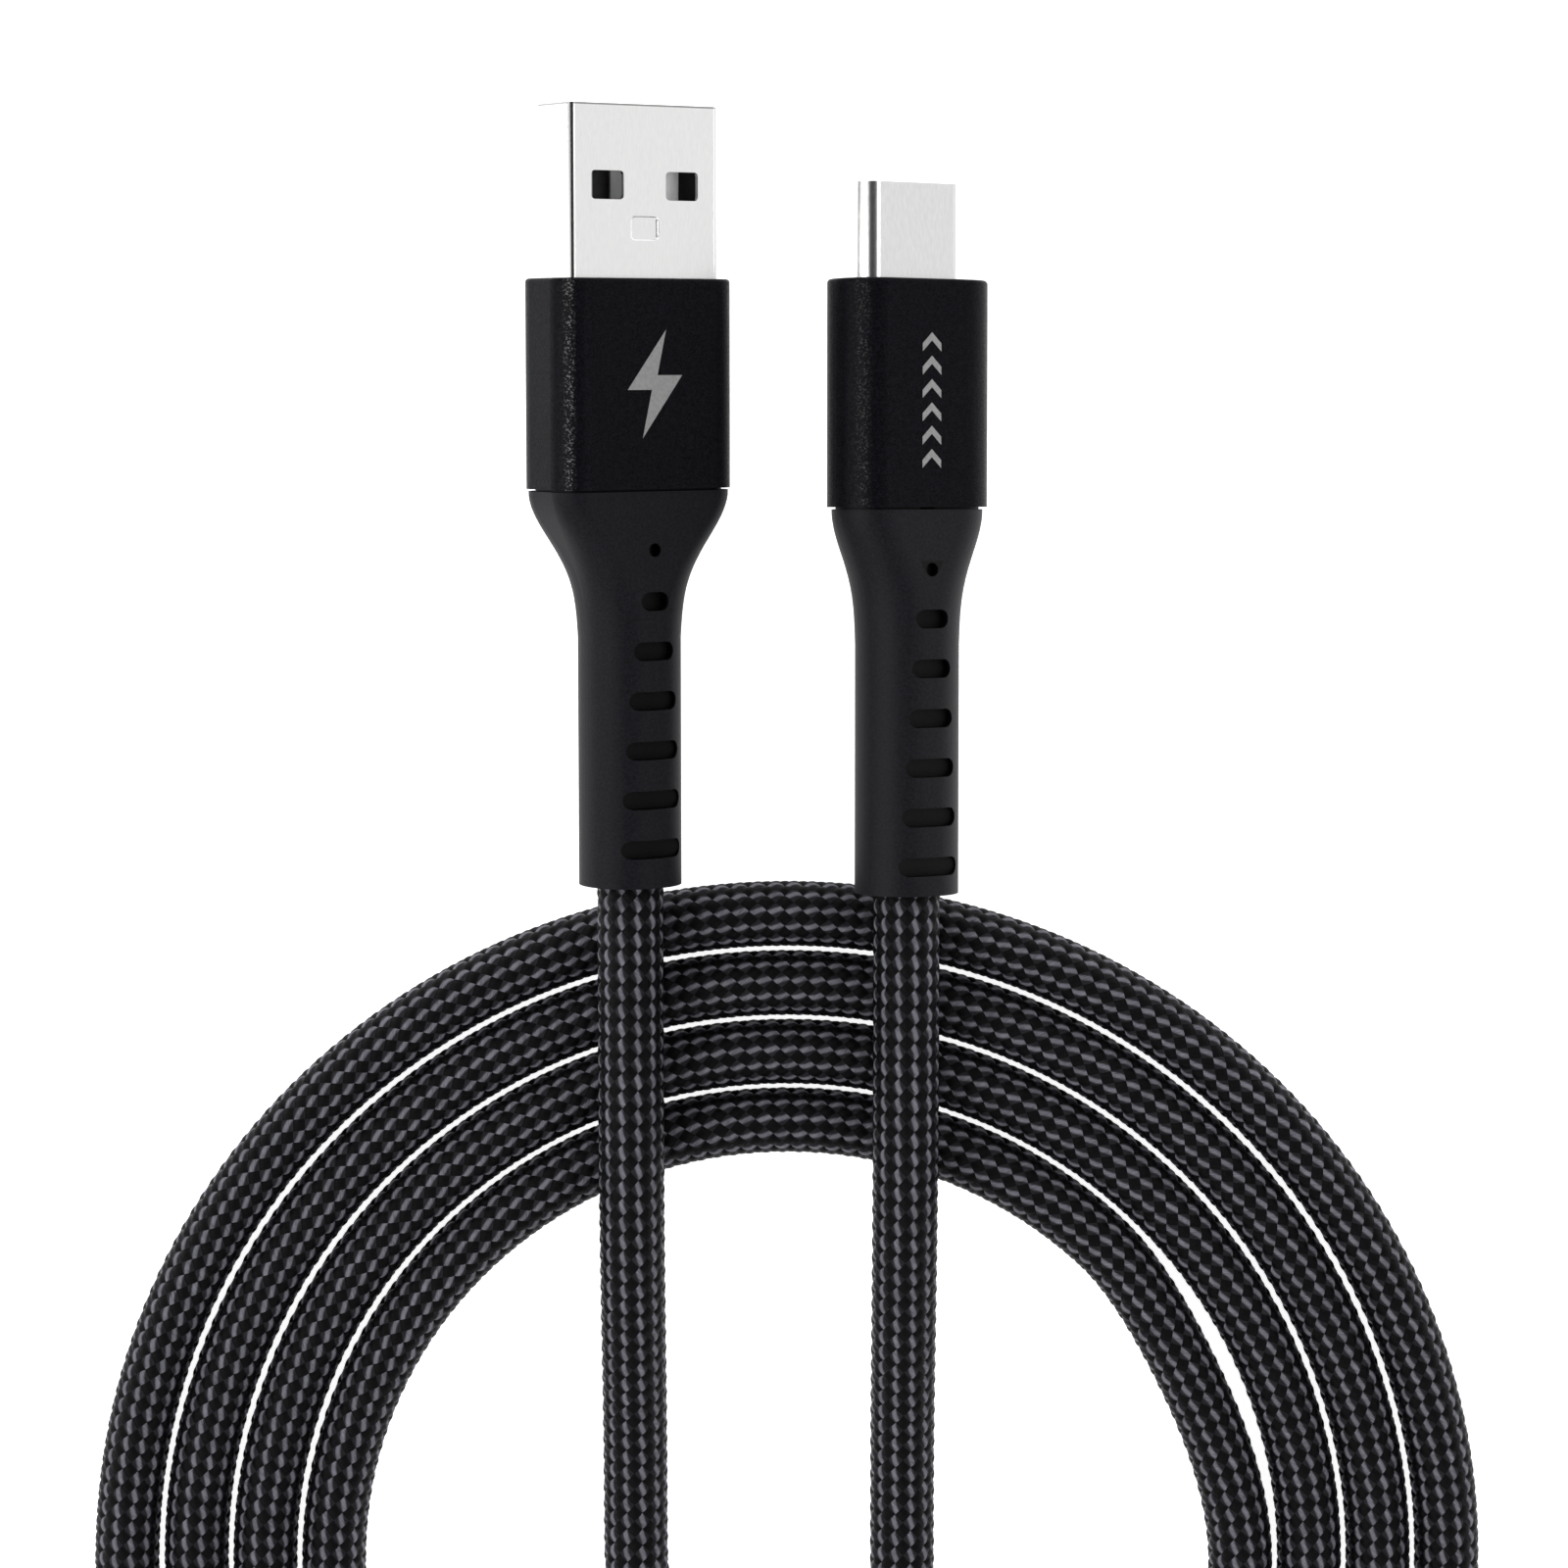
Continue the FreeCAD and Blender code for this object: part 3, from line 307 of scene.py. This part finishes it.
LOOKS = {
    "shell_a": grained("plated_steel_a", grey(232), grey(236, (1.0, 0.995, 0.99)), *ROLLED, painted_darkening=A_PAINTED_EDGES),
    "shell_c": grained("plated_steel_c", grey(224), grey(229), *ROLLED),
    "contact": grained("contact_steel", grey(235), grey(248), *SATIN),
    "housing_a": blasted("black_anodised_a", *ANODISED, *A_HOUSING),
    "housing_c": blasted("black_anodised_c", *ANODISED, *C_HOUSING),
    "boot_a": grained("black_tpe_a", *BOOT, painted_darkening=A_SLOT_SHADE, Specular_IOR_Level=0.11),
    "boot_c": grained("black_tpe_c", *BOOT, painted_darkening=C_SLOT_SHADE, Specular_IOR_Level=0.14),
    "black": grained("black_lcp", grey(20), grey(30), (0.4, 0.55), 3000.0, 0.004),
    "light": grained("light_resin", grey(178), grey(205, (1.0, 0.99, 0.96)), (0.42, 0.58), 2600.0, 0.004),
    "gold": grained("gold_plate", (0.80, 0.52, 0.17, 1), (0.90, 0.63, 0.25, 1), *PLATED),
    "steel": grained("brushed_steel", grey(150), grey(185), *BRUSHED),
    "board": grained("solder_mask", (0.006, 0.05, 0.02, 1), (0.01, 0.09, 0.035, 1), *LACQUER),
    "resistor": grained("resistor_body", grey(18), grey(34), (0.35, 0.5), 3500.0, 0.002),
    "red": grained("wire_red", (0.45, 0.01, 0.01, 1), (0.58, 0.02, 0.02, 1), *INSULATION),
    "jet": grained("wire_black", grey(18), grey(28), *INSULATION),
    "white": grained("wire_white", grey(205), grey(228), *INSULATION),
    "green": grained("wire_green", (0.01, 0.22, 0.04, 1), (0.02, 0.30, 0.06, 1), *INSULATION),
    "print": grained("grey_print", grey(128), grey(140), (0.5, 0.65), 4200.0, 0.003),
    "braid": woven("black_nylon_braid", BLACK_YARN, GREY_YARN_AND_SHEEN),
}

# Each plug's CAD pieces and their looks. A piece's full name starts with usb_a_ or usb_c_.
PLUG_LOOKS = {
    "a": {
        "shell": "shell_a",
        "housing": "housing_a",
        "boot": "boot_a",
        "tongue": "black",
        "inner_mould": "black",
        "power_contacts": "contact",
        "data_contacts": "contact",
    },
    "c": {
        "shell": "shell_c",
        "housing": "housing_c",
        "boot": "boot_c",
        "insulator": "black",
        "inner_mould": "light",
        "contacts_lower": "gold",
        "contacts_upper": "gold",
        "latch": "steel",
        "rear_shield": "steel",
        "pcb": "board",
        "resistor": "resistor",
    },
}
WIRE_LOOKS = {"wire_red": "red", "wire_black": "jet", "wire_white": "white", "wire_green": "green"}


def dress(node, look):
    """Gives a CAD piece's every slot one look."""
    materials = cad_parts[node].data.materials
    for i in range(len(materials)):
        materials[i] = LOOKS[look]


for plug, own_looks in PLUG_LOOKS.items():
    dress(f"cord_end_{plug}", "jet")
    for piece, look in {**own_looks, **WIRE_LOOKS, "crimp": "steel"}.items():
        dress(f"usb_{plug}_{piece}", look)


def in_scene(name, data):
    """A new object in the scene."""
    obj = bpy.data.objects.new(name, data)
    bpy.context.scene.collection.objects.link(obj)
    return obj


def new_piece(mesh, look):
    """A new piece of the object from its mesh, whose points are in the row frame and in metres."""
    mesh.materials.append(LOOKS[look])
    obj = in_scene(mesh.name, mesh)
    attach(obj, "root")
    return obj


# ---- the cord's route ----
# X and Y are from the coil's middle, and Z is from the surface. The coil is a two-centred spiral: each ring's
# upper half is round the middle, and its lower half is round a point half a pitch to the right.

COIL_X, COIL_Y = 2.0, -77.5
LIE = 2.35  # the height of the middle of a cord that lies on the surface
RING_PITCH, INNER_RING, RINGS = 5.0, 33.0, 4
STEP = 15  # degrees between the control points round the coil
FIRST_TURN = 39  # degrees round the coil at its first control point
A_BOOT_END = (-9.0, -26.586, 7.098)
C_BOOT_END = (10.35, -27.228, 7.092)
A_ROUTE = (
    (-11.0, 40.5, 7.37), (-11.0, 28.5, 7.5), (-11.0, 19.0, 5.3), (-11.0, 9.5, LIE),
    (-11.0, -5.89, LIE), (-5.11, -16.11, LIE), (5.11, -22.0, LIE), (16.89, -22.0, LIE),
    (27.11, -16.11, LIE), (33.0, -5.89, LIE), (33.0, 5.82, LIE),
)
C_ROUTE = (
    (-48.0, -9.0, LIE), (-46.1, -19.8, 4.0), (-41.0, -31.2, 6.4), (-32.1, -39.3, 7.4),
    (-19.0, -42.6, 7.3), (-5.9, -39.3, 7.3), (4.1, -30.3, 7.4), (8.35, -18.6, 7.6),
    (8.35, -8.0, 4.4), (8.35, 1.5, LIE), (8.35, 10.5, LIE), (8.35, 20.0, 5.3),
    (8.35, 29.5, 7.5), (8.35, 41.0, 7.63),
)
# A quadratic B-spline with control points a STEP apart on a circle runs at 0.9915 of its radius.
OUTSIDE = 1 / 0.9915


def ring_points():
    """Control points round the coil, from where the first run joins it to where the last one leaves."""
    last = 360 * (RINGS - 1) + 180
    for turn in range(FIRST_TURN, last + 1, STEP):
        ring, angle = divmod(turn, 360)
        upper = angle <= 180
        radius = INNER_RING + RING_PITCH * (ring if upper else ring + 0.5)
        shift = 0.0 if upper else RING_PITCH / 2
        x = shift + radius * OUTSIDE * math.cos(math.radians(angle))
        yield x, radius * OUTSIDE * math.sin(math.radians(angle)), LIE


def cord_line():
    """The cord's centreline as one NURBS spline, in metres."""
    middle = [(x + COIL_X, y + COIL_Y, z) for x, y, z in (*A_ROUTE, *ring_points(), *C_ROUTE)]
    points = [A_BOOT_END, *middle, C_BOOT_END]
    curve = bpy.data.curves.new("cord_line", "CURVE")
    curve.dimensions = "3D"
    curve.resolution_u = 16
    spline = curve.splines.new("NURBS")
    spline.points.add(len(points) - 1)
    for point, place in zip(spline.points, points):
        point.co = (*(value * MM for value in place), 1.0)
    spline.order_u = 3
    spline.use_endpoint_u = True
    obj = in_scene("cord_line", curve)
    bpy.context.view_layer.update()
    mesh = bpy.data.meshes.new_from_object(obj.evaluated_get(bpy.context.evaluated_depsgraph_get()))
    line = np.empty(len(mesh.vertices) * 3)
    mesh.vertices.foreach_get("co", line)
    bpy.data.meshes.remove(mesh)
    bpy.data.objects.remove(obj)
    return line.reshape(-1, 3)


# ---- the braid ----

YARNS = 12  # each way
LAY = 15.0  # the length in which a yarn goes once round
SAMPLES = 4  # points across each yarn
AROUND = SAMPLES * YARNS
SMOOTHED = 15  # rows to each side over which the cord's direction is evened out
CORE_RADIUS = 2.1
WAVE = 0.12  # how far a yarn rises over the others and dips under them
CROWN = 0.13  # how far a yarn's middle stands above its edge


def cross_sections(line):
    """Even places along the line, with the directions to the side and up at each of them."""
    steps = np.linalg.norm(np.diff(line, axis=0), axis=1)
    reach = np.concatenate(([0.0], np.cumsum(steps)))
    rows = int(reach[-1] / (LAY * MM / (2 * AROUND))) + 1
    places = np.linspace(0.0, reach[-1], rows)
    centre = np.column_stack([np.interp(places, reach, line[:, i]) for i in range(3)])
    kernel = np.hanning(2 * SMOOTHED + 1)
    kernel /= kernel.sum()
    tangent = np.pad(np.gradient(centre, axis=0), ((SMOOTHED, SMOOTHED), (0, 0)), "edge")
    tangent = np.column_stack([np.convolve(tangent[:, i], kernel, "valid") for i in range(3)])
    tangent /= np.linalg.norm(tangent, axis=1)[:, None]
    side = np.cross(tangent, (0.0, 0.0, 1.0))
    side /= np.linalg.norm(side, axis=1)[:, None]
    return centre, side, np.cross(side, tangent)


def crowned(across):
    """How high a yarn's round top stands, from its edge at 0 to its other edge at 1."""
    return CROWN * np.sqrt(np.clip(1 - (2 * across - 1) ** 2, 0, 1))


def weave_height(u, v):
    """How far each lattice point stands off the core. u and v are its places across the two sets of yarns."""
    height = np.full(u.shape, -np.inf)
    # A point on a yarn's edge belongs to both neighbours, so the highest of the cells that meet there counts.
    for du in (0, 1):
        for dv in (0, 1):
            i, j = (u - du) // SAMPLES, (v - dv) // SAMPLES
            over = -np.sin(np.pi * np.mod(v / SAMPLES + i, 2))
            under = np.sin(np.pi * np.mod(u / SAMPLES + j, 2))
            first = WAVE * over + crowned(u / SAMPLES - i)
            second = WAVE * under + crowned(v / SAMPLES - j)
            height = np.maximum(height, np.maximum(first, second))
    return height


def braid_points(line):
    """Points, row by row, of a tube of two sets of yarns, each over one and under one, and how many rows."""
    centre, side, up = cross_sections(line)
    row = np.arange(len(centre))[:, None]
    # Point j of row k is on the lattice at m = 2j + (k odd).
    m = 2 * np.arange(AROUND)[None, :] + row % 2
    radius = (CORE_RADIUS + weave_height((m + row) // 2, (m - row) // 2)) * MM
    angle = m * np.pi / AROUND
    rim = side[:, None, :] * np.cos(angle)[..., None] + up[:, None, :] * np.sin(angle)[..., None]
    points = centre[:, None, :] + rim * radius[..., None]
    return np.vstack([points.reshape(-1, 3), centre[0], centre[-1]]), len(centre)


def braid_faces(rows):
    """The diamonds between the rows: one point on the first row, two on the next and one on the third."""
    k = np.arange(rows - 2)[:, None]
    j = np.arange(AROUND)[None, :]
    left = (j - 1 + k % 2) % AROUND
    right = (j + k % 2) % AROUND
    corners = (k * AROUND + j, (k + 1) * AROUND + right, (k + 2) * AROUND + j, (k + 1) * AROUND + left)
    return np.stack(corners, axis=-1).reshape(-1, 4)


def yarn_places(rows):
    """How far across and along its own yarn each diamond's corners lie."""
    k = np.repeat(np.arange(rows - 2), AROUND)
    m = 2 * np.tile(np.arange(AROUND), rows - 2) + k % 2
    u, v = (m + k) / 2, (m - k) / 2
    u = np.stack([u, u + 1, u + 1, u], axis=1) / SAMPLES
    v = np.stack([v, v, v - 1, v - 1], axis=1) / SAMPLES
    first_on_top = (np.floor(u.mean(1)) + np.floor(v.mean(1))) % 2 > 0
    uv = np.where(first_on_top[:, None, None], np.stack([u, v], -1), np.stack([v, u + STREAKED], -1))
    return uv.reshape(-1, 2)


def close_end(first_row, next_row, cap, odd, flip):
    """Faces that close the tube's end: teeth between its last two rows, and a fan to the middle."""
    faces = []
    for j in range(AROUND):
        after = (j + 1) % AROUND
        tooth = (first_row + j, first_row + after, next_row + (after if odd else j))
        fan = (first_row + after, first_row + j, cap)
        faces += [tooth[::-1], fan[::-1]] if flip else [tooth, fan]
    return faces


def make_cord(line):
    """The whole cord as one mesh, from boot to boot."""
    points, rows = braid_points(line)
    diamonds = braid_faces(rows)
    total = rows * AROUND
    ends = close_end(0, AROUND, total, False, False)
    ends += close_end(total - AROUND, total - 2 * AROUND, total + 1, rows % 2 == 0, True)
    mesh = bpy.data.meshes.new("cord_braid")
    mesh.vertices.add(len(points))
    mesh.vertices.foreach_set("co", points.astype(np.float32).ravel())
    corners = np.concatenate([diamonds.ravel(), np.array(ends).ravel()]).astype(np.int32)
    sizes = np.concatenate([np.full(len(diamonds), 4), np.full(len(ends), 3)])
    starts = np.concatenate([[0], np.cumsum(sizes)[:-1]]).astype(np.int32)
    mesh.loops.add(len(corners))
    mesh.loops.foreach_set("vertex_index", corners)
    mesh.polygons.add(len(sizes))
    mesh.polygons.foreach_set("loop_start", starts)
    mesh.update(calc_edges=True)
    mesh.polygons.foreach_set("use_smooth", np.ones(len(sizes), bool))
    uv = np.concatenate([yarn_places(rows), np.zeros((len(ends) * 3, 2))])
    mesh.uv_layers.new(name="yarn").data.foreach_set("uv", uv.astype(np.float32).ravel())
    obj = new_piece(mesh, "braid")
    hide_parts("cord_run_a", "cord_coil", "cord_run_c")
    return obj


line = cord_line()
cord = make_cord(line)


# ---- printed marks ----


PRINT_RISE = 0.02
CHEVRONS = 6
CHEVRON_PITCH = 1.6
FIRST_CHEVRON = 3.7
BOLT = ((0.9, 3.5), (-2.2, 7.6), (-0.25, 7.6), (-1.0, 10.9), (2.2, 6.6), (0.2, 6.6))


def printed(name, place, face_height, shapes):
    """Thin flat prisms at a plug's broad face. Each shape is its outline as (across, behind the rim)."""
    points, faces = [], []
    for shape in shapes:
        count = len(shape)
        low = list(range(len(points), len(points) + count))
        high = [i + count for i in low]
        for z in (face_height - PRINT_RISE, face_height + PRINT_RISE):
            points += [(place @ Vector((x, -y, z))) * MM for x, y in shape]
        faces += [high, low[::-1]]
        for i in range(count):
            after = (i + 1) % count
            faces.append([low[i], low[after], high[after], high[i]])
    mesh = bpy.data.meshes.new(name)
    mesh.from_pydata([tuple(p) for p in points], [], faces)
    mesh.update()
    return new_piece(mesh, "print")


def chevron(front):
    """One arrow of the row, which points towards the tip."""
    wide, deep, thick = 0.75, 0.75, 0.55
    return (
        (0, front), (wide, front + deep), (wide, front + deep + thick),
        (0, front + thick), (-wide, front + deep + thick), (-wide, front + deep),
    )


chevrons = [chevron(FIRST_CHEVRON + CHEVRON_PITCH * i) for i in range(CHEVRONS)]
printed("usb_a_bolt_mark", A_FRAME, A_HALF_HEIGHT, [BOLT])
printed("usb_c_chevron_marks", C_FRAME, C_HALF_HEIGHT, chevrons)


# ---- camera, floor and light ----

scene = bpy.context.scene
scene.view_settings.view_transform = "Standard"
scene.view_settings.look = "None"

TARGET = Vector((1.77, -19.85, 5.0)) * MM
TILT = math.radians(7.5)
DISTANCE = 290 * MM
LENS, SENSOR = 94.6, 36.0
FLOOR_REACH = 3.0  # metres
FLOOR_GLOW = {"Emission_Color": (1.0, 1.0, 1.0, 1.0), "Emission_Strength": 0.9}
BAND = 2.4  # the world's brightest level
# How bright the world is, from the horizon and below (0) to straight above (1).
TENT = ((0.0, 1.0), (0.4, 0.95), (0.5, 0.8), (0.6, 0.8), (0.67, BAND), (0.75, BAND), (0.83, 0.1), (1.0, 0.03))


def set_camera():
    """Looks almost straight down at the cable, leaning a little from the plugs' side."""
    camera = in_scene("camera", bpy.data.cameras.new("camera"))
    camera.data.lens = LENS
    camera.data.sensor_width = SENSOR
    camera.data.clip_start = 0.01
    camera.data.clip_end = 10.0
    back = Vector((0, math.sin(TILT), math.cos(TILT)))
    camera.matrix_world = Matrix.Translation(TARGET + back * DISTANCE) @ Matrix.Rotation(-TILT, 4, "X")
    scene.camera = camera


def lay_floor():
    """A pale floor that glows a little, so that it stays white between the rings."""
    mesh = bpy.data.meshes.new("floor")
    corners = [(x * FLOOR_REACH, y * FLOOR_REACH, 0) for x, y in ((-1, -1), (1, -1), (1, 1), (-1, 1))]
    mesh.from_pydata(corners, [], [(0, 1, 2, 3)])
    paint = grained("pale_floor", grey(244), grey(250), (0.75, 0.85), 60.0, 0.001, **FLOOR_GLOW)
    mesh.materials.append(paint)
    in_scene("floor", mesh)


def light_tent():
    """A world with a bright band half way up and dark overhead, so that flat black faces stay black."""
    world = bpy.data.worlds.new("studio")
    world.use_nodes = True
    new, link = world.node_tree.nodes.new, world.node_tree.links.new
    up = new("ShaderNodeSeparateXYZ")
    link(new("ShaderNodeTexCoord").outputs["Generated"], up.inputs[0])
    ramp = new("ShaderNodeValToRGB")
    elements = ramp.color_ramp.elements
    while len(elements) < len(TENT):
        elements.new(0.5)
    for element, (position, level) in zip(elements, TENT):
        element.position = position
        element.color = (level / BAND, level / BAND, level / BAND, 1.0)
    link(up.outputs["Z"], ramp.inputs["Fac"])
    background = world.node_tree.nodes["Background"]
    background.inputs["Strength"].default_value = BAND
    link(ramp.outputs["Color"], background.inputs["Color"])
    return world


def softbox(name, place, size, power):
    """A rectangular area light that faces the plugs."""
    light = bpy.data.lights.new(name, "AREA")
    light.shape = "RECTANGLE"
    light.size, light.size_y = size
    light.energy = power
    obj = in_scene(name, light)
    obj.location = place
    obj.rotation_mode = "QUATERNION"
    obj.rotation_quaternion = Vector(place).to_track_quat("Z", "Y")


set_camera()
lay_floor()
scene.world = light_tent()
softbox("key", place=(-0.5, 0.0, 0.5), size=(0.12, 0.7), power=1.4)
